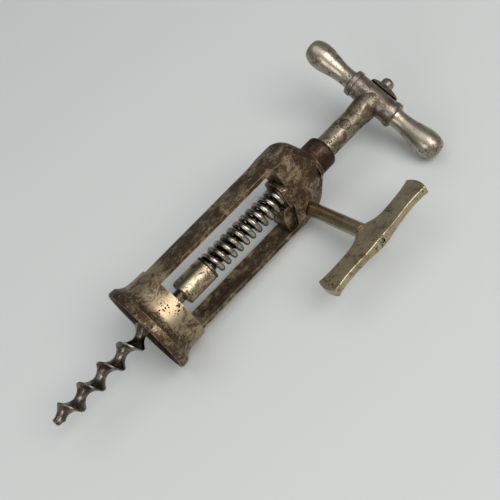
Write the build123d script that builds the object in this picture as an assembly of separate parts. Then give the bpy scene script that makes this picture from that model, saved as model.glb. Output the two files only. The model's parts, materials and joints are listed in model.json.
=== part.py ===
from build123d import *
import math
import os

# A corkscrew with an open frame. Its bell sits on a bottle's neck, and two pillars carry an arched
# head. The top handle turns the worm into the cork. The side grip turns a toothed sector inside the
# head, which lifts the ring-toothed spindle and the worm with it, whichever way the worm stands, and
# presses the spring.
# Every piece is made upright: the worm's axis is Z, zero is the bell's rim, the handle is at the
# top and the pillars are at +X and -X. At the end all of it is laid down as it lies on a table,
# with the seat for the bottle's mouth at the origin and the worm along -X.

# Fits and gaps, radial or to one side
push_fit = 0.02
running_fit = 0.07
loose_gap = 0.3
slot_gap = 0.3
touch_gap = 0.05

# Past a face, so that a cut goes right through it
overshoot = 1.0

# Bell
bell_radius = 20.0
bell_edge_drop = 0.4
lip_round_height = 1.2
mouth_wall = 0.8
lip_height = 3.6
lip_taper = 0.25
cove_height = 5.2
bottle_radius = 14.9
bell_wall = 2.3
flare_height = 5.0
seat_depth = 12.5
ledge_width = 1.9
ledge_height = 3.2

# Pillars
pillar_bore_gap = 0.4
pillar_wall = 1.6
pillar_top_wall = 2.0
pillar_width = 10.28
window_height = 62.75
pillar_flare_start = 6.5
pillar_flare_end = 1.0

# Head, whose heights count from the top of the arch on its faces
arch_radius = 60.0
arch_shift = -5.5
head_depth = 13.72
head_height = 17.6
shoulder_height = 7.75
shoulder_top_height = 13.55
shoulder_top_drop = 2.7
neck_ledge = 0.35
neck_ring_height = 1.7
neck_edge = 0.2
spring_boss_radius = 7.3
spring_seat_drop = 3.35
housing_wall = 1.2
face_bevel_height = 19.0
face_bevel_slope_across = 0.46
face_bevel_slope_up = 0.72
bevel_height = 8.85
bevel_start = 4.6
bevel_slope_across = 0.32
bevel_slope_up = 0.266

# Neck collar
collar_radius = 7.05
collar_height = 8.35
collar_edge = 1.7
spigot_radius = 5.0
spigot_depth = 4.4

# Rack spindle and toothed sector
spindle_radius = 2.7
tooth_module = 0.6
full_circle_teeth = 34
addendum = 0.45
dedendum = 0.6
flank_angle = 20.0
backlash = 0.15
rack_grooves_above = 2
sector_width = 4.2
hub_wall = 1.0
axle_height = 4.78
lift_travel = 12.0

# Side axle and its grip
axle_radius = 3.1
axle_reach = 36.95
axle_recess_wall = 0.6
axle_recess_depth = 1.2
tenon_radius = 0.9
tenon_recess = 0.5
washer_radius = 4.9
washer_thickness = 0.9
nut_across_flats = 8.2
nut_height = 3.2
nut_edge = 0.6
axle_end = 0.8
pin_radius = 0.7
pin_angle = 30.0
tee_half_length = 26.6
tee_boss_half = 2.4
tee_boss_width = 11.24
tee_boss_foot_drop = 1.3
tee_boss_foot_at = 5.3
tee_inner_drop = 2.2
tee_inner_waist_at = 15.0
tee_inner_end_drop = 1.3
tee_outer_drop = 1.1
tee_outer_waist_at = 17.0
tee_outer_end_drop = 0.25
tee_thickness = 4.74
tee_waist_thickness = 3.4
tee_thin_at = 18.0
tee_end_thickness = 4.36
tee_end_bow = 1.2
tee_edge = 0.45
tee_lean = 2.9

# Spring and its washers
wire_radius = 1.2
wire_flat_share = 1 / 3
spring_length = 39.8
spring_coils = 10.75
spring_start_angle = 6.0
seat_washer_radius = 5.4
seat_washer_thickness = 0.8

# Lower collar and worm
worm_collar_radius = 5.4
worm_collar_height = 14.2
worm_collar_edge = 0.5
socket_depth = 6.5
shank_radius = 2.7
shank_length = 10.9
worm_radius = 4.75
worm_core_radius = 1.5
worm_pitch = 10.37
worm_length = 56.4
worm_land = 0.56
worm_run_out = 5.0
worm_point_length = 6.0
worm_point_radius = 1.9
worm_point_round = 1.0
worm_tip_angle = -48.4
worm_root_radius = 1.2
worm_trim_gap = 0.3

# Stem above the collar
stem_radius = 4.95
stem_edge = 0.4
stem_neck_height = 18.5
eye_start_height = 25.5
eye_radius = 5.6
eye_round_height = 30.0
eye_top_radius = 4.9
stem_height = 32.3
spindle_tenon_length = 18.6
cross_pin_height = 12.5
cross_pin_radius = 2.2

# Cross handle, whose lengths count from the middle outwards
handle_height = 31.7
handle_angle = -49.4
barrel_radius = 5.35
barrel_half_length = 9.05
rod_radius = 2.4
rod_tip_wall = 5.8
ferrule_radius = 5.78
ferrule_groove = 0.45
ferrule_length = 3.0
ferrule_straight = 2.1
ferrule_end_radius = 4.7
grip_length = 23.75
grip_root_radius = 4.15
grip_neck_radius = 3.92
grip_neck_at = 3.8
grip_middle_radius = 4.75
grip_middle_at = 10.3
grip_belly_radius = 5.58
grip_belly_at = 19.2
grip_shoulder_radius = 4.4
grip_shoulder_at = 22.3
tip_hole_radius = 0.7
tip_hole_depth = 3.5
saddle_half_length = 6.85
saddle_half_width = 2.6
saddle_shift = 0.9
saddle_corner = 1.5
saddle_end_rise = 0.45
saddle_height = 1.9
knob_radius = 2.9
knob_straight = 1.8
knob_dome = 2.3
knob_shank_radius = 1.2
knob_shank_depth = 2.2

# How it lies: the side axle points this far above the table
lying_roll = 15.0

# Heights worked out from the sizes above
sill_z = seat_depth + ledge_height
arch_z = sill_z + window_height
head_z = arch_z + head_height
axle_z = arch_z + axle_height
stem_z = head_z + collar_height
handle_z = stem_z + handle_height
barrel_top = handle_z + barrel_radius
saddle_bottom = barrel_top + touch_gap
spring_top = arch_z - spring_seat_drop
spring_boss_z = spring_top + seat_washer_thickness
spring_bottom = spring_top - spring_length
worm_collar_top = spring_bottom - seat_washer_thickness
worm_collar_bottom = worm_collar_top - worm_collar_height
tip_z = worm_collar_bottom - shank_length - worm_length

# Radii, widths and lengths worked out from the sizes above
mouth_radius = bell_radius - mouth_wall
bore_radius = bottle_radius + pillar_bore_gap
pillar_radius = bore_radius + pillar_wall
head_radius = bore_radius + pillar_top_wall
ring_radius = bottle_radius + bell_wall
neck_radius = collar_radius + neck_ledge
half_depth = head_depth / 2
beyond = 2 * max(bell_radius, head_radius)
spring_mean_radius = spindle_radius + loose_gap + wire_radius
spring_space = spring_mean_radius + wire_radius + 2 * loose_gap
rod_half_length = barrel_half_length + ferrule_length + grip_length - rod_tip_wall

# The rack and the toothed sector, whose angles count from +X towards +Z
tooth_pitch = math.pi * tooth_module
tooth_angle = 360 / full_circle_teeth
rack_pitch_radius = spindle_radius - addendum
sector_pitch_radius = tooth_module * full_circle_teeth / 2
sector_radius = sector_pitch_radius + addendum
sector_root_radius = sector_pitch_radius - dedendum
sector_teeth = math.ceil(lift_travel / tooth_pitch) + 2
sector_start = 180 - tooth_angle / 2
sector_end = sector_start + sector_teeth * tooth_angle
sector_sweep = math.degrees(lift_travel / sector_pitch_radius)
rack_grooves_below = int((axle_z - spring_bottom) / tooth_pitch) - 1
axle_x = rack_pitch_radius + sector_pitch_radius
hub_radius = axle_radius + hub_wall
slot_radius = sector_radius + slot_gap
slot_width = sector_width + 2 * slot_gap


def solid_round(radius, bottom, top):
    bar = Cylinder(radius, top - bottom, align=(Align.CENTER, Align.CENTER, Align.MIN))
    return Pos(0, 0, bottom) * bar


def tube(outer, inner, bottom, top):
    return solid_round(outer, bottom, top) - solid_round(inner, bottom, top)


def face_within(*lines):
    return make_face([edge for line in lines for edge in line.edges()])


def turned(*lines):
    return revolve(Plane.XZ * face_within(*lines), Axis.Z)


def slab(plane, outline, thickness):
    return extrude(plane.offset(-thickness / 2) * outline, amount=thickness)


def pie(radius, start, end):
    arc = CenterArc((0, 0), radius, start, end - start)
    return face_within(Line((0, 0), arc @ 0), arc, Line(arc @ 1, (0, 0)))


def across(x, z):
    return Pos(x, 0, z) * Rot(90, 0, 0)


def frame_outside():
    cove_z = lip_height + cove_height
    lip_top = (bell_radius - lip_taper, lip_height)
    shoulder = (head_radius, arch_z + shoulder_height)
    shoulder_top = (head_radius - shoulder_top_drop, arch_z + shoulder_top_height)
    lower_lip = TangentArc((bell_radius, lip_round_height), (bell_radius - bell_edge_drop, 0), tangent=(0, -1))
    lip = TangentArc((bell_radius, lip_round_height), lip_top, tangent=(0, 1))
    cove = TangentArc((ring_radius, cove_z), lip_top, tangent=(0, -1))
    side = Polyline((ring_radius, cove_z), (pillar_radius, sill_z), (head_radius, arch_z), shoulder)
    shoulder_round = TangentArc(shoulder, shoulder_top, tangent=(0, 1))
    rest = Polyline(shoulder_top, (neck_radius, head_z), (0, head_z), (0, 0), (bell_radius - bell_edge_drop, 0))
    return turned(lower_lip, lip, cove, side, shoulder_round, rest)


def pillar_slab():
    half = pillar_width / 2
    flare_z = arch_z - pillar_flare_start
    face_z = arch_z + pillar_flare_end
    roof = head_z + overshoot
    edge = Line((half, sill_z), (half, flare_z))
    flare = TangentArc((half, flare_z), (half_depth, face_z), tangent=(0, 1))
    rest = Polyline((half_depth, face_z), (half_depth, roof), (0, roof), (0, sill_z), (half, sill_z))
    outline = face_within(edge, flare, rest)
    outline += mirror(outline, Plane.YZ)
    return slab(Plane.YZ, outline, 2 * beyond)


def beside_pillars():
    above_sill = Box(beyond, beyond, 2 * head_z, align=(Align.CENTER, Align.CENTER, Align.MIN))
    return Pos(0, 0, sill_z) * above_sill - pillar_slab()


def window():
    bore = solid_round(bore_radius, sill_z, arch_z + overshoot)
    arch = across(arch_shift, arch_z - arch_radius) * Cylinder(arch_radius, beyond)
    return (bore & arch) - solid_round(spring_boss_radius, spring_boss_z, arch_z + overshoot)


def bottle_bore():
    flare = TangentArc((bottle_radius, flare_height), (mouth_radius, 0), tangent=(0, -1))
    rest = Polyline((mouth_radius, 0), (0, 0), (0, seat_depth), (bottle_radius, seat_depth),
                    (bottle_radius, flare_height))
    return turned(flare, rest) + solid_round(bottle_radius - ledge_width, seat_depth, sill_z)


def bevel(x, height, slope_across, slope_up):
    plane = Plane(origin=(x, -half_depth, arch_z + height), z_dir=(slope_across, -1, slope_up))
    return plane * Box(2 * beyond, 2 * beyond, beyond, align=(Align.CENTER, Align.CENTER, Align.MIN))


def head_bevels():
    left = bevel(0, face_bevel_height, -face_bevel_slope_across, face_bevel_slope_up)
    back_left = mirror(left, Plane.XZ)
    shoulder = bevel(bevel_start, bevel_height, bevel_slope_across, bevel_slope_up)
    return [left, back_left, mirror(back_left, Plane.YZ), shoulder]


def neck_ring():
    ring = solid_round(neck_radius, head_z - neck_ring_height, head_z)
    return chamfer(ring.edges().group_by(Axis.Z)[-1], neck_edge)


def housing():
    front = slot_width / 2 + housing_wall
    outline = Pos(axle_x, axle_z) * Circle(slot_radius + housing_wall)
    block = Pos(0, (half_depth - front) / 2, 0) * slab(Plane.XZ, outline, half_depth + front)
    block &= solid_round(bore_radius + push_fit, sill_z, arch_z + overshoot)
    return block - solid_round(spring_space, sill_z, spring_boss_z)


def sector_slot():
    slack = math.degrees(slot_gap / hub_radius)
    outline = pie(slot_radius, sector_start - sector_sweep - slack, sector_end + slack)
    outline += Circle(hub_radius + slot_gap)
    return Pos(axle_x, 0, axle_z) * slab(Plane.XZ, outline, slot_width)


def frame():
    body = frame_outside() - beside_pillars() - window() - bottle_bore()
    for block in head_bevels():
        body -= block
    body += neck_ring()
    body += housing()
    body -= solid_round(spindle_radius + loose_gap, spring_boss_z, head_z)
    body -= solid_round(spigot_radius + push_fit, head_z - spigot_depth, head_z)
    body -= sector_slot()
    body -= across(axle_x, axle_z) * Cylinder(axle_radius + running_fit, 2 * head_depth)
    recess = across(axle_x, axle_z) * Cylinder(axle_radius + axle_recess_wall, 2 * axle_recess_depth)
    return body - Pos(0, -half_depth, 0) * recess


def neck_collar():
    body = solid_round(collar_radius, head_z, stem_z) + solid_round(spigot_radius, head_z - spigot_depth, head_z)
    body = fillet(body.edges().group_by(Axis.Z)[-1], collar_edge)
    return body - solid_round(spindle_radius + running_fit, head_z - spigot_depth, stem_z)


def rack_spindle():
    bottom = worm_collar_top - socket_depth
    top = stem_z + spindle_tenon_length
    half_gap = (tooth_pitch + backlash) / 4
    widen = math.tan(math.radians(flank_angle))
    gap_root = half_gap - dedendum * widen
    gap_mouth = half_gap + addendum * widen
    root_radius = rack_pitch_radius - dedendum
    points = [(0, bottom), (spindle_radius, bottom)]
    for groove in range(-rack_grooves_below, rack_grooves_above + 1):
        z = axle_z + groove * tooth_pitch
        points += [(spindle_radius, z - gap_mouth), (root_radius, z - gap_root)]
        points += [(root_radius, z + gap_root), (spindle_radius, z + gap_mouth)]
    points += [(spindle_radius, top), (0, top)]
    return turned(Polyline(*points, close=True)) - cross_pin_bar(cross_pin_radius + push_fit)


def cross_pin_bar(radius):
    bar = Cylinder(radius, 2 * stem_radius)
    return Pos(0, 0, stem_z + cross_pin_height) * Rot(0, 0, handle_angle - 90) * Rot(0, 90, 0) * bar


def cross_pin():
    return cross_pin_bar(cross_pin_radius) & solid_round(stem_radius, stem_z, stem_z + stem_height)


def along_handle(shape):
    return Pos(0, 0, handle_z) * Rot(0, 0, handle_angle) * Rot(0, 90, 0) * shape


def stem():
    top = stem_z + stem_height
    neck_z = stem_z + stem_neck_height
    foot = Polyline((0, stem_z), (stem_radius - stem_edge, stem_z), (stem_radius, stem_z + stem_edge),
                    (stem_radius, neck_z))
    swell = Spline((stem_radius, neck_z), (eye_radius, stem_z + eye_start_height), tangents=[(0, 1), (0, 1)])
    eye = Line(swell @ 1, (eye_radius, stem_z + eye_round_height))
    crown = TangentArc(eye @ 1, (eye_top_radius, top), tangent=(0, 1))
    body = turned(foot, swell, eye, crown, Polyline((eye_top_radius, top), (0, top), (0, stem_z)))
    body -= along_handle(Cylinder(barrel_radius + push_fit, 4 * eye_radius))
    body -= solid_round(spindle_radius + push_fit, stem_z, stem_z + spindle_tenon_length)
    return body - cross_pin_bar(cross_pin_radius + push_fit)


def handle_barrel():
    length = 2 * barrel_half_length
    body = Cylinder(barrel_radius, length) - Cylinder(rod_radius + push_fit, length)
    knob_hole = solid_round(knob_shank_radius + push_fit, barrel_top - knob_shank_depth, barrel_top)
    return along_handle(body) - knob_hole


def handle_rod():
    return along_handle(Cylinder(rod_radius, 2 * rod_half_length))


def ferrule():
    inner = rod_radius + push_fit
    start = barrel_half_length
    end = start + ferrule_length
    bead = start + ferrule_groove
    groove_radius = barrel_radius - ferrule_groove
    low = Polyline((ferrule_end_radius, end), (inner, end), (inner, start), (groove_radius, start),
                   (groove_radius, bead), (ferrule_radius, bead), (ferrule_radius, start + ferrule_straight))
    round_off = TangentArc((ferrule_radius, start + ferrule_straight), (ferrule_end_radius, end), tangent=(0, 1))
    return turned(low, round_off)


def grip(with_hole):
    inner = rod_radius + push_fit
    start = barrel_half_length + ferrule_length
    end = start + grip_length
    side = Spline((grip_root_radius, start), (grip_neck_radius, start + grip_neck_at),
                  (grip_middle_radius, start + grip_middle_at), (grip_belly_radius, start + grip_belly_at),
                  (grip_shoulder_radius, start + grip_shoulder_at))
    tip = Spline(side @ 1, (0, end), tangents=[side % 1, (-1, 0)])
    inside = Polyline((0, end), (0, rod_half_length), (inner, rod_half_length), (inner, start),
                      (grip_root_radius, start))
    body = turned(side, tip, inside)
    if with_hole:
        body -= solid_round(tip_hole_radius, end - tip_hole_depth, end)
    return body


def saddle_plate():
    top = saddle_bottom + saddle_height
    end_top = saddle_bottom + saddle_end_rise
    low = Polyline((saddle_half_length, end_top), (saddle_half_length, saddle_bottom),
                   (-saddle_half_length, saddle_bottom), (-saddle_half_length, end_top))
    crown = ThreePointArc((-saddle_half_length, end_top), (0, top), (saddle_half_length, end_top))
    body = slab(Plane.XZ, face_within(low, crown), 2 * saddle_half_width)
    body = fillet(body.edges().filter_by(Axis.Z), saddle_corner)
    body = Rot(0, 0, handle_angle) * Pos(saddle_shift, 0, 0) * body
    return body - solid_round(knob_shank_radius + push_fit, saddle_bottom, top)


def finial_screw():
    seat = saddle_bottom + saddle_height
    straight = seat + knob_straight
    top = straight + knob_dome
    shank_end = barrel_top - knob_shank_depth
    low = Polyline((0, top), (0, shank_end), (knob_shank_radius, shank_end), (knob_shank_radius, seat),
                   (knob_radius, seat), (knob_radius, straight))
    return turned(low, Spline((knob_radius, straight), (0, top), tangents=[(0, 1), (-1, 0)]))


def helix_point(turn, radius, angle, bottom, pitch):
    direction = math.radians(angle + 360 * turn)
    return Vector(radius * math.cos(direction), radius * math.sin(direction), bottom + pitch * turn)


def helix_direction(turn, radius, angle, pitch):
    direction = math.radians(angle + 360 * turn)
    climb = pitch / (2 * math.pi)
    return Vector(-radius * math.sin(direction), radius * math.cos(direction), climb).normalized()


def biarc(start, end, start_way, end_way):
    span = end - start
    both = start_way + end_way
    bend = 4 - both.dot(both)
    reach = (-span.dot(both) + math.sqrt(span.dot(both) ** 2 + bend * span.dot(span))) / bend
    first = start + start_way * reach
    second = end - end_way * reach
    middle = (first + second) * 0.5
    return [TangentArc([start, middle], tangent=start_way),
            TangentArc([middle, end], tangent=second - first)]


def spring_pitch():
    return (spring_length - 2 * wire_radius * wire_flat_share) / spring_coils


def spring():
    bottom = spring_bottom + wire_radius * wire_flat_share
    arcs = []
    for quarter in range(round(4 * spring_coils)):
        ends = []
        ways = []
        for turn in (quarter / 4, (quarter + 1) / 4):
            ends.append(helix_point(turn, spring_mean_radius, spring_start_angle, bottom, spring_pitch()))
            ways.append(helix_direction(turn, spring_mean_radius, spring_start_angle, spring_pitch()))
        arcs += biarc(*ends, *ways)
    path = Wire([edge for arc in arcs for edge in arc.edges()])
    section = Plane(origin=path @ 0, z_dir=path % 0) * Circle(wire_radius)
    coil = sweep(section, path=path)
    return coil & tube(spring_mean_radius + 2 * wire_radius, spindle_radius, spring_bottom, spring_top)


def print_spring_gap():
    steps = 48
    count = round(steps * spring_coils)
    points = [helix_point(step / steps, spring_mean_radius, spring_start_angle, 0, spring_pitch())
              for step in range(count)]
    apart = min((points[later] - points[first]).length
                for first in range(count) for later in range(first + steps // 2, count))
    print("least gap of the spring to itself", round(apart - 2 * wire_radius, 2), "mm")


def spring_washer():
    # Notched on one side, so that the sector's teeth pass it
    ring = tube(seat_washer_radius, spindle_radius + loose_gap, spring_top, spring_boss_z)
    return ring - across(axle_x, axle_z) * Cylinder(slot_radius, slot_width)


def thrust_washer():
    return tube(seat_washer_radius, spindle_radius + running_fit, worm_collar_top, spring_bottom)


def worm_collar():
    body = solid_round(worm_collar_radius, worm_collar_bottom, worm_collar_top)
    body = chamfer(body.edges().filter_by(GeomType.CIRCLE), worm_collar_edge)
    body -= solid_round(spindle_radius + push_fit, worm_collar_top - socket_depth, worm_collar_top)
    return body - solid_round(shank_radius + push_fit, worm_collar_bottom, worm_collar_bottom + socket_depth)


def worm_section():
    reach = (worm_pitch - worm_land) / 2
    rise = worm_radius - worm_core_radius
    bow = (reach ** 2 + rise ** 2) / (2 * rise)
    steps = 16
    points = []
    for step in range(steps + 1):
        off_middle = reach * (2 * step / steps - 1)
        radius = worm_core_radius + bow - math.sqrt(bow ** 2 - off_middle ** 2)
        angle = math.pi * (1 + 2 * off_middle / worm_pitch)
        points.append((radius * math.cos(angle), radius * math.sin(angle)))
    return face_within(Spline(*points), ThreePointArc(points[-1], (worm_radius + push_fit, 0), points[0]))


def worm():
    # Made with its tip at zero, then moved into place
    thin_z = worm_length - worm_run_out
    fade_z = worm_length + worm_run_out
    top = worm_length + shank_length + socket_depth
    guide = Helix(worm_pitch, fade_z, worm_radius)
    blade = sweep(worm_section(), path=Line((0, 0, 0), (0, 0, fade_z)), binormal=guide)
    blade = Rot(0, 0, worm_tip_angle) * blade
    full = worm_radius + worm_trim_gap
    round_tip = TangentArc((worm_point_radius, worm_point_round), (0, 0), tangent=(0, -1))
    point = Spline((worm_point_radius, worm_point_round), (full, worm_point_length), tangents=[(0, 1), (0.8, 1)])
    run_out = Spline((full, thin_z), (shank_radius, fade_z), tangents=[(0, 1), (0, 1)])
    rest = Polyline((shank_radius, fade_z), (0, fade_z), (0, 0))
    blade = blade & turned(round_tip, point, Line(point @ 1, run_out @ 0), run_out, rest)
    taper = Spline((worm_root_radius, thin_z), (shank_radius, worm_length), tangents=[(0, 1), (0, 1)])
    shank = turned(taper, Polyline(taper @ 1, (shank_radius, top), (0, top), (0, thin_z), taper @ 0))
    return Pos(0, 0, tip_z) * (blade + shank)


def roll_angle(cosine):
    angle = math.acos(cosine)
    return math.tan(angle) - angle


def sector_tooth():
    base_radius = sector_pitch_radius * math.cos(math.radians(flank_angle))
    half_pitch = (tooth_pitch - backlash) / 4 / sector_pitch_radius
    flank = []
    for radius in (base_radius, sector_pitch_radius, sector_radius):
        away = half_pitch + roll_angle(base_radius / sector_pitch_radius) - roll_angle(base_radius / radius)
        flank.append((-radius * math.cos(away), radius * math.sin(away)))
    other = [(x, -y) for x, y in reversed(flank)]
    inside = overshoot - sector_root_radius
    foot = Polyline(other[-1], (inside, other[-1][1]), (inside, flank[0][1]), flank[0])
    land = ThreePointArc(flank[-1], (-sector_radius, 0), other[0])
    return face_within(Spline(*flank), land, Spline(*other), foot)


def pinion_pin_bar(radius, half_length):
    return Pos(axle_x, 0, axle_z) * Rot(0, pin_angle, 0) * Cylinder(radius, 2 * half_length)


def pinion():
    outline = pie(sector_root_radius, sector_start, sector_end) + Circle(hub_radius)
    tooth = sector_tooth()
    for number in range(sector_teeth):
        outline += Rot(0, 0, number * tooth_angle) * tooth
    outline -= Circle(axle_radius + push_fit)
    body = Pos(axle_x, 0, axle_z) * slab(Plane.XZ, outline, sector_width)
    return body - pinion_pin_bar(pin_radius + push_fit, hub_radius)


def pinion_pin():
    return pinion_pin_bar(pin_radius, hub_radius - touch_gap)


def along_axle(shape, start):
    return Pos(axle_x, start, axle_z) * Rot(-90, 0, 0) * shape


def axle_stack():
    washer = half_depth + touch_gap
    nut = washer + washer_thickness
    return washer, nut, nut + nut_height


def pinion_axle():
    end = axle_stack()[2] + axle_end
    body = along_axle(solid_round(axle_radius, 0, axle_reach + end), -axle_reach)
    body = chamfer(body.edges().group_by(Axis.Y)[-1], axle_end / 2)
    tenon_end = tee_boss_width - tenon_recess
    body += along_axle(solid_round(tenon_radius, 0, tenon_end), -axle_reach - tenon_end)
    return body - pinion_pin_bar(pin_radius + push_fit, hub_radius)


def axle_washer():
    washer, nut, _ = axle_stack()
    return along_axle(tube(washer_radius, axle_radius + push_fit, 0, nut - washer), washer)


def axle_nut():
    nut = axle_stack()[1]
    corner = nut_across_flats / math.sqrt(3)
    hexagon = RegularPolygon(corner, 6) - Circle(axle_radius + push_fit)
    disc = chamfer(Cylinder(corner, nut_height).edges().filter_by(GeomType.CIRCLE), nut_edge)
    return along_axle(extrude(hexagon, amount=nut_height) & Pos(0, 0, nut_height / 2) * disc, nut)


def tee_outline():
    inner = -axle_reach
    outer = inner - tee_boss_width
    inner_end = inner - tee_inner_end_drop
    outer_end = outer + tee_outer_end_drop
    upper = Spline((inner, tee_boss_half), (inner - tee_boss_foot_drop, tee_boss_foot_at),
                   (inner - tee_inner_drop, tee_inner_waist_at), (inner_end, tee_half_length),
                   tangents=[(-0.3, 1), (0.15, 1)])
    end_arc = ThreePointArc((inner_end, tee_half_length), ((inner_end + outer_end) / 2, tee_half_length + tee_end_bow),
                            (outer_end, tee_half_length))
    back = Spline((outer_end, tee_half_length), (outer + tee_outer_drop, tee_outer_waist_at), (outer, 0),
                  (outer + tee_outer_drop, -tee_outer_waist_at), (outer_end, -tee_half_length))
    lower = mirror(Curve() + [upper, end_arc], Plane.XZ)
    return face_within(Line((inner, -tee_boss_half), (inner, tee_boss_half)), upper, end_arc, back, *lower.edges())


def tee_thickness_outline():
    full = tee_half_length + tee_end_bow + overshoot
    half = tee_thickness / 2
    side = Spline((half, tee_boss_half), (tee_waist_thickness / 2, tee_thin_at), (tee_end_thickness / 2, full),
                  tangents=[(-0.15, 1), (0.15, 1)])
    quarter = face_within(Polyline((half, tee_boss_half), (half, 0), (0, 0), (0, full), (tee_end_thickness / 2, full)),
                          side)
    quarter += mirror(quarter, Plane.YZ)
    return quarter + mirror(quarter, Plane.XZ)


def tee_grip():
    body = slab(Plane.YZ, tee_outline(), 2 * tee_thickness)
    body &= slab(Plane.XZ, tee_thickness_outline(), 4 * axle_reach)
    body = fillet(body.edges().filter_by(Axis.X, reverse=True), tee_edge)
    body -= Pos(0, -axle_reach, 0) * Rot(90, 0, 0) * Cylinder(tenon_radius + push_fit, 4 * tee_boss_width)
    return Pos(axle_x, 0, axle_z) * Rot(0, -tee_lean, 0) * body


def lay_down(shape):
    roll = math.radians(lying_roll)
    table = Plane(origin=(-seat_depth, 0, 0), x_dir=(0, -math.sin(roll), -math.cos(roll)), z_dir=(1, 0, 0))
    return table.location * shape


def main():
    os.makedirs("parts", exist_ok=True)
    pieces = {
        "frame": frame(),
        "neck_collar": neck_collar(),
        "spring_washer": spring_washer(),
        "spring": spring(),
        "thrust_washer": thrust_washer(),
        "worm_collar": worm_collar(),
        "worm": worm(),
        "rack_spindle": rack_spindle(),
        "stem": stem(),
        "cross_pin": cross_pin(),
        "handle_barrel": handle_barrel(),
        "handle_rod": handle_rod(),
        "right_ferrule": along_handle(ferrule()),
        "left_ferrule": along_handle(Rot(180, 0, 0) * ferrule()),
        "right_grip": along_handle(grip(True)),
        "left_grip": along_handle(Rot(180, 0, 0) * grip(False)),
        "saddle_plate": saddle_plate(),
        "finial_screw": finial_screw(),
        "pinion": pinion(),
        "pinion_pin": pinion_pin(),
        "pinion_axle": pinion_axle(),
        "axle_washer": axle_washer(),
        "axle_nut": axle_nut(),
        "tee_grip": tee_grip(),
    }
    for name, shape in pieces.items():
        export_step(lay_down(shape), f"parts/{name}.step")
    print_spring_gap()


main()
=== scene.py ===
import json
import math

import bmesh
import bpy
from mathutils import Matrix, Vector


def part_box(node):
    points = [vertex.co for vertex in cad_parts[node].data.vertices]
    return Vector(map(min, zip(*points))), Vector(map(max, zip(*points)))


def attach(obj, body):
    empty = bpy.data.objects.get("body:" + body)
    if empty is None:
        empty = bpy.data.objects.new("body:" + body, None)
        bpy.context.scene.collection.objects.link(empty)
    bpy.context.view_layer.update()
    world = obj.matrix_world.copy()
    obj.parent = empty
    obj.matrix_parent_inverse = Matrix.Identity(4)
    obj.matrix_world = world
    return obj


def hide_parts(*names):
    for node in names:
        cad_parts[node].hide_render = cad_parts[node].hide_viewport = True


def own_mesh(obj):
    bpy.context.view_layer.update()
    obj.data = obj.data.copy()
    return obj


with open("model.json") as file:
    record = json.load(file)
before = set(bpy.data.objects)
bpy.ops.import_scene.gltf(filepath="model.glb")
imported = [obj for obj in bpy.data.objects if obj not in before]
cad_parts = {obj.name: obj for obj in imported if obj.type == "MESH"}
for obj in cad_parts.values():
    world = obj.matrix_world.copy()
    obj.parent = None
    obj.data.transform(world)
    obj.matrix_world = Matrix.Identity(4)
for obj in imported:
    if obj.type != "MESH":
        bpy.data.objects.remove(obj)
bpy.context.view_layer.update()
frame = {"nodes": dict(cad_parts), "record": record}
nodes = frame["nodes"]
print("frame loaded:", len(nodes), "nodes")

# The photograph's view: the tool lies on a pale table, seen from its front and above
cameraView = {
    "place": (-0.028663, -0.180715, 0.242119),
    "looksAt": (0.038232, -0.008740, 0.0),
    "roll": -28.646,  # degrees, the frame's right side dips
    "focal": 55.87,  # mm
    "sensor": 36.0,  # mm
    "nearest": 0.01,
    "farthest": 20.0,
}
tableHeight = -0.020  # the tool rests on the bell's rim, with its axis this far up


def addCamera(view):
    data = bpy.data.cameras.new("photoCamera")
    data.sensor_fit = "HORIZONTAL"
    data.sensor_width = view["sensor"]
    data.lens = view["focal"]
    data.clip_start = view["nearest"]
    data.clip_end = view["farthest"]
    camera = bpy.data.objects.new("photoCamera", data)
    bpy.context.scene.collection.objects.link(camera)
    sight = (Vector(view["looksAt"]) - Vector(view["place"])).normalized()
    levelRight = sight.cross(Vector((0, 0, 1))).normalized()
    levelUp = levelRight.cross(sight)
    roll = math.radians(view["roll"])
    right = levelRight * math.cos(roll) + levelUp * math.sin(roll)
    up = right.cross(sight)
    camera.matrix_world = Matrix((right, up, -sight)).transposed().to_4x4()
    camera.location = view["place"]
    bpy.context.scene.camera = camera
    print("camera placed")


# Short ways to add shader nodes: a value may be a number, a colour or another node's socket
class Tree:
    def __init__(self, nodeTree):
        self.tree = nodeTree
        self.column = 0

    def add(self, kind, **settings):
        node = self.tree.nodes.new(kind)
        node.location = (self.column * 190, (self.column % 4) * -170)  # spread out for reading
        self.column += 1
        for key, value in settings.items():
            setattr(node, key, value)
        return node

    def join(self, source, target):
        self.tree.links.new(source, target)

    def give(self, value, target):
        if isinstance(value, bpy.types.NodeSocket):
            self.join(value, target)
        else:
            target.default_value = value


def newMaterial(name):
    material = bpy.data.materials.new(name)
    material.use_nodes = True
    material.node_tree.nodes.clear()
    tree = Tree(material.node_tree)
    output = tree.add("ShaderNodeOutputMaterial")
    shader = tree.add("ShaderNodeBsdfPrincipled")
    tree.join(shader.outputs["BSDF"], output.inputs["Surface"])
    return material, tree, shader


def mixColor(tree, factor, first, second):
    mix = tree.add("ShaderNodeMix", data_type="RGBA")
    tree.give(factor, mix.inputs[0])
    for value, socket in ((first, mix.inputs[6]), (second, mix.inputs[7])):
        tree.give(value if isinstance(value, bpy.types.NodeSocket) else (*value, 1.0), socket)
    return mix.outputs[2]


def mathNode(tree, operation, first, second=0.0, clamp=False):
    node = tree.add("ShaderNodeMath", operation=operation, use_clamp=clamp)
    tree.give(first, node.inputs[0])
    tree.give(second, node.inputs[1])
    return node.outputs[0]


def times(tree, value, factor):
    return mathNode(tree, "MULTIPLY", value, factor)


def weighted(tree, parts):
    # The sum of some values, each times its own share
    (value, share), *others = parts
    total = times(tree, value, share)
    for value, share in others:
        total = mathNode(tree, "ADD", total, times(tree, value, share))
    return total


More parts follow.
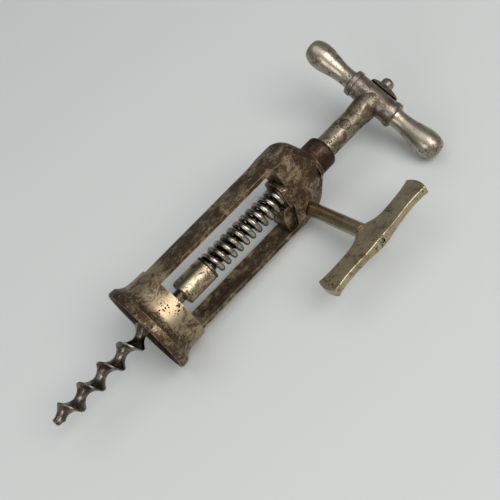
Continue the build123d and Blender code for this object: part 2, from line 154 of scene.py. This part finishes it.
def remap(tree, value, low, high, toLow=0.0, toHigh=1.0, smooth=True):
    kind = "SMOOTHSTEP" if smooth else "LINEAR"
    node = tree.add("ShaderNodeMapRange", interpolation_type=kind)
    tree.join(value, node.inputs["Value"])
    ends = (("From Min", low), ("From Max", high), ("To Min", toLow), ("To Max", toHigh))
    for name, number in ends:
        tree.give(number, node.inputs[name])
    return node.outputs["Result"]


def around(tree, value, middle, below, above):
    # Rises from 0 to 1 between two levels on either side of a middle one
    low = mathNode(tree, "SUBTRACT", middle, below)
    return remap(tree, value, low, mathNode(tree, "ADD", middle, above))


def noise(tree, vector, scale, detail, roughness, distortion=0.0):
    node = tree.add("ShaderNodeTexNoise")
    tree.join(vector, node.inputs["Vector"])
    tree.give(scale, node.inputs["Scale"])
    tree.give(detail, node.inputs["Detail"])
    tree.give(roughness, node.inputs["Roughness"])
    tree.give(distortion, node.inputs["Distortion"])
    return node.outputs["Fac"]


def addBump(tree, shader, height, strength, depth):
    bump = tree.add("ShaderNodeBump")
    tree.give(strength, bump.inputs["Strength"])
    tree.give(depth, bump.inputs["Distance"])
    tree.join(height, bump.inputs["Height"])
    tree.join(bump.outputs["Normal"], shader.inputs["Normal"])


def newGroup(name, inputs, outputs):
    group = bpy.data.node_groups.new(name, "ShaderNodeTree")
    for label, value in inputs.items():
        kind = "NodeSocketFloat" if isinstance(value, float) else "NodeSocketVector"
        socket = group.interface.new_socket(name=label, in_out="INPUT", socket_type=kind)
        socket.default_value = value
    for label in outputs:
        group.interface.new_socket(name=label, in_out="OUTPUT", socket_type="NodeSocketFloat")
    tree = Tree(group)
    return group, tree, tree.add("NodeGroupInput").outputs, tree.add("NodeGroupOutput").inputs


def placeGroup(tree, group, values):
    node = tree.add("ShaderNodeGroup", node_tree=group)
    for name, value in values.items():
        tree.give(value, node.inputs[name])
    return node.outputs


patinaLook = {
    # each noise: scale as a share of the blotch scale, detail, roughness, distortion
    "broad": (0.3, 4.0, 0.6, 0.4),
    "blotch": (1.0, 7.0, 0.68, 0.3),
    "fine": (5.0, 4.0, 0.7, 0.0),
    "streak": (4.0, 5.0, 0.62, 0.0),
    "stain": (0.55, 6.0, 0.66, 0.8),
    "platingShares": (0.26, 0.30, 0.28, 0.16),  # of broad, blotch, fine and streak
    "platingLevel": 0.62,
    "platingReach": 0.24,  # how far the Plating value moves that level
    "platingEdge": 0.05,
    "rustLevel": 0.66,
    "rustReach": 0.24,
    "rustEdge": (0.03, 0.09),
    "rustSpeckle": (0.3, 0.62, 0.45, 1.0),
    "pitSpread": (0.15, 2.0, 0.5),  # share of the pit scale, detail, roughness
    "pitAreas": (0.42, 0.72),
    "pitFloor": 0.55,
    "pitLeast": (0.02, 0.08),
    "heightShares": (0.45, 0.35, 0.3, -1.1),  # of plating, fine, streak and pits
}


def buildPatinaGroup(look):
    # Where plating is left, where rust stains it, lengthwise streaks and pits, all from
    # the piece's own coordinates
    inputs = {"Vector": (0.0, 0.0, 0.0), "Streak Turn": 0.0, "Streak Stretch": (0.1, 1.0, 1.0),
              "Blotch Scale": 260.0, "Plating": 0.5, "Rust": 0.5, "Pit Scale": 900.0, "Pit Level": 0.3}
    outputs = ("Plating", "Rust", "Streaks", "Pits", "Shade", "Height")
    group, tree, given, made = newGroup("oldMetalPatina", inputs, outputs)
    where = given["Vector"]

    def cloud(name, vector=where):
        share, *rest = look[name]
        return noise(tree, vector, times(tree, given["Blotch Scale"], share), *rest)

    broad, blotch, fine = cloud("broad"), cloud("blotch"), cloud("fine")
    turned = tree.add("ShaderNodeVectorRotate", rotation_type="X_AXIS")
    tree.join(where, turned.inputs["Vector"])
    tree.join(given["Streak Turn"], turned.inputs["Angle"])
    stretched = tree.add("ShaderNodeVectorMath", operation="MULTIPLY")
    tree.join(turned.outputs["Vector"], stretched.inputs[0])
    tree.join(given["Streak Stretch"], stretched.inputs[1])
    streak = cloud("streak", stretched.outputs["Vector"])

    field = weighted(tree, zip((broad, blotch, fine, streak), look["platingShares"]))
    moved = times(tree, given["Plating"], look["platingReach"])
    level = mathNode(tree, "SUBTRACT", look["platingLevel"], moved)
    plating = around(tree, field, level, look["platingEdge"], look["platingEdge"])

    moved = times(tree, given["Rust"], look["rustReach"])
    level = mathNode(tree, "SUBTRACT", look["rustLevel"], moved)
    rust = around(tree, cloud("stain"), level, *look["rustEdge"])
    rust = times(tree, rust, remap(tree, fine, *look["rustSpeckle"]))

    cells = tree.add("ShaderNodeTexVoronoi", feature="F1")
    tree.join(where, cells.inputs["Vector"])
    tree.join(given["Pit Scale"], cells.inputs["Scale"])
    share, *rest = look["pitSpread"]
    spread = noise(tree, where, times(tree, given["Pit Scale"], share), *rest)
    reach = times(tree, remap(tree, spread, *look["pitAreas"]), given["Pit Level"])
    outside = remap(tree, cells.outputs["Distance"], times(tree, reach, look["pitFloor"]), reach)
    pits = mathNode(tree, "SUBTRACT", 1.0, outside, clamp=True)
    pits = times(tree, pits, remap(tree, reach, *look["pitLeast"]))

    shade = weighted(tree, ((fine, 0.5), (broad, 0.5)))
    height = weighted(tree, zip((plating, fine, streak, pits), look["heightShares"]))
    for name, value in zip(outputs, (plating, rust, streak, pits, shade, height)):
        tree.join(value, made[name])
    return group


edgeLook = {
    "samples": 8,
    "bend": (0.998, 0.93),  # from a flat face to a full edge
    "breakUp": (4.0, 0.6),
    "broken": (0.35, 0.6),
    "cornerReach": 0.003,
    "corner": (0.82, 0.32),
}


def buildEdgeGroup(look):
    # Bright wear where two faces meet; dirt and painted shade in the corners between them
    inputs = {"Vector": (0.0, 0.0, 0.0), "Width": 0.0005, "Break Up": 300.0}
    group, tree, given, made = newGroup("edgeWearAndCornerShade", inputs, ("Edge", "Cavity"))
    bevel = tree.add("ShaderNodeBevel", samples=look["samples"])
    tree.join(given["Width"], bevel.inputs["Radius"])
    geometry = tree.add("ShaderNodeNewGeometry")
    dot = tree.add("ShaderNodeVectorMath", operation="DOT_PRODUCT")
    tree.join(bevel.outputs["Normal"], dot.inputs[0])
    tree.join(geometry.outputs["Normal"], dot.inputs[1])
    bent = remap(tree, dot.outputs["Value"], *look["bend"])
    broken = noise(tree, given["Vector"], given["Break Up"], *look["breakUp"])
    tree.join(times(tree, bent, remap(tree, broken, *look["broken"])), made["Edge"])
    corners = tree.add("ShaderNodeAmbientOcclusion", samples=look["samples"], only_local=True)
    tree.give(look["cornerReach"], corners.inputs["Distance"])
    tree.join(remap(tree, corners.outputs["AO"], *look["corner"]), made["Cavity"])
    return group


along = {"turn": 0.0, "stretch": (0.1, 1.0, 1.0)}  # streaks run along the worm's axis
alongHandle = {"turn": -0.447, "stretch": (1.0, 0.1, 1.0)}
alongAxle = {"turn": 0.262, "stretch": (1.0, 0.08, 1.0)}
# painted shade on the bell's inner surface, from the rim inwards
bellInsideShadeLook = {
    # places along the axis and the bell's inner radius there, in metres
    "rim": -0.0125,
    "step": -0.0075,
    "rimRadius": 0.0193,
    "stepRadius": 0.0157,
    "end": (0.003, 0.0035),
    "skin": 0.0003,
    "dirtAndShade": 0.8,
}
crossPinEnd = {
    "at": (0.1044, 0.0, 0.0),
    "way": (0.0, -0.43187, 0.90194),
    "radius": 0.0022,
    "line": (0.0001, 0.00034),  # half width of the dark line, and where it has faded
    "lineDirt": 0.9,
    "tintEdge": 0.0004,
    "tint": 0.55,
}
# painted shade between the coils and on what lies inside the spring
coilGapShadeLook = {"reach": (0.0030, 0.0047), "dirtAndShade": 0.93}
frameZones = (
    # a place along the axis and how much plating is left there
    (-0.0125, 0.30), (-0.0105, 0.34), (-0.0078, 0.30), (-0.0050, 0.80), (0.004, 0.86), (0.009, 0.42),
    (0.03, 0.34), (0.060, 0.40), (0.067, 0.48), (0.073, 0.38), (0.0836, 0.30),
)
metalFinishes = {
    # bare, plated, rust and dirt-and-shade colours, how much of each is left, then pits and finish; the
    # last colour is dirt in pits and painted shade in corners, between coils and inside the bell
    "aged_nickel_frame": dict(
        bare=(0.125, 0.085, 0.052), plated=(0.42, 0.33, 0.21), rust=(0.080, 0.045, 0.027),
        dirtAndShade=(0.016, 0.011, 0.007), streaks=along, blotch=380.0, zones=frameZones, rusted=0.62,
        pits=900.0, pitLevel=0.42, rough=0.54, roughPlated=0.42, bump=0.55, wear=0.0007,
        inside=bellInsideShadeLook),
    "brown_bronze": dict(
        bare=(0.070, 0.040, 0.030), plated=(0.15, 0.10, 0.08), rust=(0.045, 0.024, 0.016),
        dirtAndShade=(0.014, 0.009, 0.007), streaks=along, blotch=460.0, plating=0.28, rusted=0.6,
        pits=900.0, pitLevel=0.3, rough=0.56, roughPlated=0.44, bump=0.5),
    "dark_steel": dict(
        bare=(0.07, 0.060, 0.052), plated=(0.20, 0.18, 0.15), rust=(0.05, 0.032, 0.022),
        dirtAndShade=(0.010, 0.009, 0.008), streaks=alongHandle, blotch=420.0, plating=0.4, rusted=0.45,
        pits=900.0, pitLevel=0.25, rough=0.45, roughPlated=0.34, bump=0.4),
    "spring_steel": dict(
        bare=(0.17, 0.140, 0.098), plated=(0.46, 0.42, 0.335), rust=(0.12, 0.078, 0.055),
        dirtAndShade=(0.008, 0.006, 0.005), streaks=along, blotch=520.0, plating=0.72, rusted=0.45,
        pits=1100.0, pitLevel=0.28, rough=0.40, roughPlated=0.27, bump=0.3, core=coilGapShadeLook),
    "pale_nickel": dict(
        bare=(0.20, 0.158, 0.098), plated=(0.46, 0.395, 0.265), rust=(0.13, 0.082, 0.042),
        dirtAndShade=(0.03, 0.021, 0.013), streaks=along, blotch=330.0, plating=0.72, rusted=0.55,
        pits=900.0, pitLevel=0.40, rough=0.48, roughPlated=0.38, bump=0.45),
    "worm_steel": dict(
        bare=(0.12, 0.098, 0.080), plated=(0.33, 0.285, 0.235), rust=(0.075, 0.045, 0.029),
        dirtAndShade=(0.012, 0.009, 0.007), streaks=along, blotch=420.0, plating=0.38, rusted=0.5,
        pits=1000.0, pitLevel=0.25, rough=0.32, roughPlated=0.24, bump=0.35),
    "aged_nickel_stem": dict(
        bare=(0.155, 0.120, 0.080), plated=(0.345, 0.292, 0.208), rust=(0.095, 0.058, 0.034),
        dirtAndShade=(0.02, 0.014, 0.010), streaks=along, blotch=420.0, plating=0.58, rusted=0.55,
        pits=850.0, pitLevel=0.40, rough=0.50, roughPlated=0.36, bump=0.55, pin=crossPinEnd),
    "rose_nickel": dict(
        bare=(0.165, 0.128, 0.103), plated=(0.36, 0.302, 0.250), rust=(0.11, 0.070, 0.050),
        dirtAndShade=(0.016, 0.012, 0.010), streaks=alongHandle, blotch=400.0, plating=0.64, rusted=0.5,
        pits=850.0, pitLevel=0.36, rough=0.44, roughPlated=0.31, bump=0.45),
    "grip_nickel": dict(
        bare=(0.20, 0.165, 0.125), plated=(0.44, 0.388, 0.308), rust=(0.15, 0.10, 0.066),
        dirtAndShade=(0.03, 0.022, 0.016), streaks=alongHandle, blotch=340.0, plating=0.80, rusted=0.46,
        pits=760.0, pitLevel=0.42, rough=0.45, roughPlated=0.33, bump=0.4),
    "pinion_steel": dict(
        bare=(0.20, 0.175, 0.13), plated=(0.42, 0.38, 0.29), rust=(0.12, 0.075, 0.045),
        dirtAndShade=(0.02, 0.015, 0.010), streaks=along, blotch=380.0, plating=0.6, rusted=0.45,
        pits=900.0, pitLevel=0.3, rough=0.40, roughPlated=0.30, bump=0.35),
    "axle_nickel": dict(
        bare=(0.22, 0.178, 0.115), plated=(0.40, 0.345, 0.235), rust=(0.13, 0.086, 0.048),
        dirtAndShade=(0.02, 0.014, 0.009), streaks=alongAxle, blotch=300.0, plating=0.86, rusted=0.34,
        pits=620.0, pitLevel=0.34, rough=0.42, roughPlated=0.31, bump=0.45),
    "tee_nickel": dict(
        bare=(0.25, 0.190, 0.115), plated=(0.49, 0.405, 0.268), rust=(0.16, 0.105, 0.058),
        dirtAndShade=(0.022, 0.016, 0.010), streaks=along, blotch=420.0, plating=0.84, rusted=0.44,
        pits=1100.0, pitLevel=0.50, rough=0.46, roughPlated=0.36, bump=0.5, wear=0.0006),
}
sharedLook = {
    "shadeSpan": (0.38, 0.6),
    "platedDull": 0.72,  # the darkest plated colour, as a share of its colour
    "bareDark": 0.6,
    "streakSpan": (0.60, 0.72, 0.0, 0.55),
    "edgeShine": 0.85,
    "wear": 0.0005,
    "rustRough": 0.16,
    "pitRough": 0.25,
    "bumpDepth": 0.00009,
}
zoneWander = {"scale": 140.0, "detail": 3.0, "roughness": 0.6, "reach": 0.012}


def zoneLevels(tree, where, zones, look):
    # How much plating is left along the worm's axis, with borders that wander
    axis = tree.add("ShaderNodeSeparateXYZ")
    tree.join(where, axis.inputs[0])
    drift = noise(tree, where, look["scale"], look["detail"], look["roughness"])
    drift = times(tree, mathNode(tree, "SUBTRACT", drift, 0.5), look["reach"])
    low, high = zones[0][0], zones[-1][0]
    share = remap(tree, mathNode(tree, "ADD", axis.outputs["X"], drift), low, high, smooth=False)
    ramp = tree.add("ShaderNodeValToRGB")
    tree.join(share, ramp.inputs["Fac"])
    stops = ramp.color_ramp.elements
    for index, (place, level) in enumerate(zones):
        position = (place - low) / (high - low)
        stop = stops[index] if index < 2 else stops.new(position)
        stop.position = position
        stop.color = (level, level, level, 1.0)
    return ramp.outputs["Color"]


def axisRadius(tree, where):
    # The place along the worm's axis, and the distance from it
    axis = tree.add("ShaderNodeSeparateXYZ")
    tree.join(where, axis.inputs[0])
    flat = tree.add("ShaderNodeCombineXYZ")
    tree.join(axis.outputs["Y"], flat.inputs["Y"])
    tree.join(axis.outputs["Z"], flat.inputs["Z"])
    radius = tree.add("ShaderNodeVectorMath", operation="LENGTH")
    tree.join(flat.outputs[0], radius.inputs[0])
    return axis.outputs["X"], radius.outputs["Value"]


def bellInsideShade(tree, where, look):
    # Painted shade: the bell's inner surface is darkened
    place, radius = axisRadius(tree, where)
    limit = remap(tree, place, look["rim"], look["step"], look["rimRadius"], look["stepRadius"],
                  smooth=False)
    inward = remap(tree, mathNode(tree, "SUBTRACT", limit, radius), 0.0, look["skin"])
    near = remap(tree, place, *look["end"], 1.0, 0.0)
    return times(tree, times(tree, inward, near), look["dirtAndShade"])


def coilGapShade(tree, where, look):
    # Painted shade deep between the coils: darker towards the spring's axis
    radius = axisRadius(tree, where)[1]
    return remap(tree, radius, *look["reach"], look["dirtAndShade"], 0.0)


def pinRing(tree, where, look):
    # A dark line and a brown tint where the cross pin's end shows in the stem
    apart = tree.add("ShaderNodeVectorMath", operation="SUBTRACT")
    tree.join(where, apart.inputs[0])
    tree.give(look["at"], apart.inputs[1])
    sideways = tree.add("ShaderNodeVectorMath", operation="CROSS_PRODUCT")
    tree.join(apart.outputs[0], sideways.inputs[0])
    tree.give(look["way"], sideways.inputs[1])
    length = tree.add("ShaderNodeVectorMath", operation="LENGTH")
    tree.join(sideways.outputs[0], length.inputs[0])
    radius = length.outputs["Value"]
    off = mathNode(tree, "ABSOLUTE", mathNode(tree, "SUBTRACT", radius, look["radius"]))
    line = remap(tree, off, *look["line"], 1.0, 0.0)
    tint = remap(tree, radius, look["radius"], look["radius"] + look["tintEdge"], look["tint"], 0.0)
    return mathNode(tree, "MAXIMUM", times(tree, line, look["lineDirt"]), tint)


def oldMetal(name, look, patina, edges):
    material, tree, shader = newMaterial(name)
    where = tree.add("ShaderNodeTexCoord").outputs["Object"]
    if "zones" in look:
        look = dict(look, plating=zoneLevels(tree, where, look["zones"], zoneWander))
    marks = placeGroup(tree, patina, {
        "Vector": where, "Streak Turn": look["streaks"]["turn"],
        "Streak Stretch": look["streaks"]["stretch"], "Blotch Scale": look["blotch"],
        "Plating": look["plating"], "Rust": look["rusted"], "Pit Scale": look["pits"],
        "Pit Level": look["pitLevel"]})
    rims = placeGroup(tree, edges, {"Vector": where, "Width": look.get("wear", sharedLook["wear"])})
    shade = remap(tree, marks["Shade"], *sharedLook["shadeSpan"])
    dull = [sharedLook["platedDull"] * channel for channel in look["plated"]]
    dark = [sharedLook["bareDark"] * channel for channel in look["bare"]]
    color = mixColor(tree, shade, dark, look["bare"])
    streaks = remap(tree, marks["Streaks"], *sharedLook["streakSpan"])
    layers = [  # from the bare metal up
        (marks["Plating"], mixColor(tree, shade, dull, look["plated"])),
        (marks["Rust"], look["rust"]),
        (streaks, look["rust"]),
        # darker in corners and creases: dirt there, and painted shade
        (rims["Cavity"], look["dirtAndShade"]),
        (marks["Pits"], look["dirtAndShade"]),
        (times(tree, rims["Edge"], sharedLook["edgeShine"]), look["plated"]),
    ]
    # the bell's inside and the spring's core get painted shade; the cross pin's end gets a dark line
    # and tint
    for key, stain in (("inside", bellInsideShade), ("core", coilGapShade), ("pin", pinRing)):
        if key in look:
            layers.append((stain(tree, where, look[key]), look["dirtAndShade"]))
    for factor, tint in layers:
        color = mixColor(tree, factor, color, tint)
    tree.join(color, shader.inputs["Base Color"])
    shader.inputs["Metallic"].default_value = 1.0
    rough = remap(tree, marks["Plating"], 0.0, 1.0, look["rough"], look["roughPlated"], smooth=False)
    rough = mathNode(tree, "ADD", rough, times(tree, marks["Rust"], sharedLook["rustRough"]))
    rough = mathNode(tree, "ADD", rough, times(tree, marks["Pits"], sharedLook["pitRough"]), clamp=True)
    tree.join(rough, shader.inputs["Roughness"])
    addBump(tree, shader, marks["Height"], look["bump"], sharedLook["bumpDepth"])
    return material


def paintNodes():
    patina = buildPatinaGroup(patinaLook)
    edges = buildEdgeGroup(edgeLook)
    materials = {name: oldMetal(name, look, patina, edges) for name, look in metalFinishes.items()}
    for part in frame["record"]["subparts"]:
        mesh = nodes[part["node"]].data
        mesh.materials.clear()
        mesh.materials.append(materials[part["material_slot"]])
    print("metals painted:", len(materials), "finishes")
    return materials


springLook = {
    "wireRadius": 0.0012,
    "meanRadius": 0.0042,
    "coils": 10.75,
    "startAngle": 6.0,
    "lyingRoll": 15.0,  # degrees, as the whole tool lies
    "travel": 0.012,
    "stepsPerCoil": 40,
    "sides": 12,
    "grinding": 0.00003,  # what is ground off each end to seat it
}


def addSpring(look, material):
    low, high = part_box("spring")
    inset = look["wireRadius"] / 3
    length = (high.x - low.x) - 2 * inset
    pitch = length / look["coils"]
    mesh = bmesh.new()
    bmesh.ops.create_circle(mesh, cap_ends=False, radius=look["wireRadius"], segments=look["sides"])
    angle = math.radians(look["startAngle"] - look["lyingRoll"])
    out = Vector((0, math.sin(angle), -math.cos(angle)))
    start = Vector((low.x + inset, 0, 0)) + out * look["meanRadius"]
    ahead = Vector((1, 0, 0)).cross(out).normalized()
    ahead = (ahead * 2 * math.pi * look["meanRadius"] + Vector((1, 0, 0)) * pitch).normalized()
    up = ahead.cross(out)
    for vert in mesh.verts:
        vert.co = start + out * vert.co.x + up * vert.co.y
    steps = round(look["coils"] * look["stepsPerCoil"])
    bmesh.ops.spin(mesh, geom=mesh.verts[:] + mesh.edges[:], cent=(0, 0, 0), axis=(1, 0, 0),
                   dvec=(length / steps, 0, 0), angle=look["coils"] * 2 * math.pi, steps=steps)
    for x, sense in ((low.x + look["grinding"], -1), (high.x - look["grinding"], 1)):
        bmesh.ops.bisect_plane(mesh, geom=mesh.verts[:] + mesh.edges[:] + mesh.faces[:], dist=1e-7,
                               plane_co=(x, 0, 0), plane_no=(sense, 0, 0), clear_outer=True)
    bmesh.ops.holes_fill(mesh, edges=[edge for edge in mesh.edges if edge.is_boundary], sides=0)
    bmesh.ops.recalc_face_normals(mesh, faces=mesh.faces[:])
    for face in mesh.faces:
        face.smooth = True
    data = bpy.data.meshes.new("coilSpring")
    mesh.to_mesh(data)
    mesh.free()
    data.materials.append(material)
    piece = bpy.data.objects.new("coilSpring", data)
    bpy.context.scene.collection.objects.link(piece)
    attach(piece, "frame_unit")
    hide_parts("spring")
    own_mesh(piece)
    print("spring:", len(data.polygons), "faces")


floorLook = {
    "seen": (0.592, 0.609, 0.597),
    "half": 3.0,  # metres from the middle to each side
    "rough": 0.75,
    "shine": 0.2,
    "grain": (900.0, 2.0, 0.5),  # scale, detail and roughness
    "bump": 0.15,
    "bumpDepth": 0.0002,
}


def addFloor(look):
    mesh = bmesh.new()
    bmesh.ops.create_grid(mesh, x_segments=1, y_segments=1, size=look["half"])
    bmesh.ops.translate(mesh, verts=mesh.verts[:], vec=(0, 0, tableHeight))
    data = bpy.data.meshes.new("table")
    mesh.to_mesh(data)
    mesh.free()
    material, tree, shader = newMaterial("paleTable")
    shader.inputs["Base Color"].default_value = (*look["seen"], 1.0)
    shader.inputs["Roughness"].default_value = look["rough"]
    shader.inputs["Specular IOR Level"].default_value = look["shine"]
    where = tree.add("ShaderNodeTexCoord").outputs["Object"]
    addBump(tree, shader, noise(tree, where, *look["grain"]), look["bump"], look["bumpDepth"])
    data.materials.append(material)
    floor = bpy.data.objects.new("table", data)
    bpy.context.scene.collection.objects.link(floor)
    print("table laid")


lamps = {
    # place in metres, size in metres, watts and colour of each soft lamp
    "windowLamp": dict(place=(0.25, -0.79, 1.01), size=1.0, power=12.0, color=(1.0, 0.985, 0.96)),
    "ceilingLamp": dict(place=(-0.1, 0.25, 1.5), size=1.5, power=5.5, color=(0.97, 0.985, 1.0)),
    "sideLamp": dict(place=(-0.9, -0.35, 0.55), size=0.6, power=2.5, color=(1.0, 0.99, 0.97)),
}
lampsFace = (0.04, 0, 0)  # the middle of the tool
roomLight = {"color": (0.95, 0.97, 1.0), "strength": 0.28}


def addLights():
    for name, look in lamps.items():
        data = bpy.data.lights.new(name, "AREA")
        data.shape = "DISK"
        data.size = look["size"]
        data.energy = look["power"]
        data.color = look["color"]
        lamp = bpy.data.objects.new(name, data)
        bpy.context.scene.collection.objects.link(lamp)
        lamp.location = look["place"]
        sight = Vector(lampsFace) - Vector(look["place"])
        lamp.rotation_euler = sight.to_track_quat("-Z", "Y").to_euler()
    world = bpy.data.worlds.new("studio")
    world.use_nodes = True
    bpy.context.scene.world = world
    room = world.node_tree.nodes["Background"]
    room.inputs["Color"].default_value = (*roomLight["color"], 1.0)
    room.inputs["Strength"].default_value = roomLight["strength"]
    print("lamps set:", len(lamps))


addCamera(cameraView)
materials = paintNodes()
addSpring(springLook, materials["spring_steel"])
addFloor(floorLook)
addLights()
bpy.context.scene.view_settings.view_transform = "Standard"
print("scene ready")
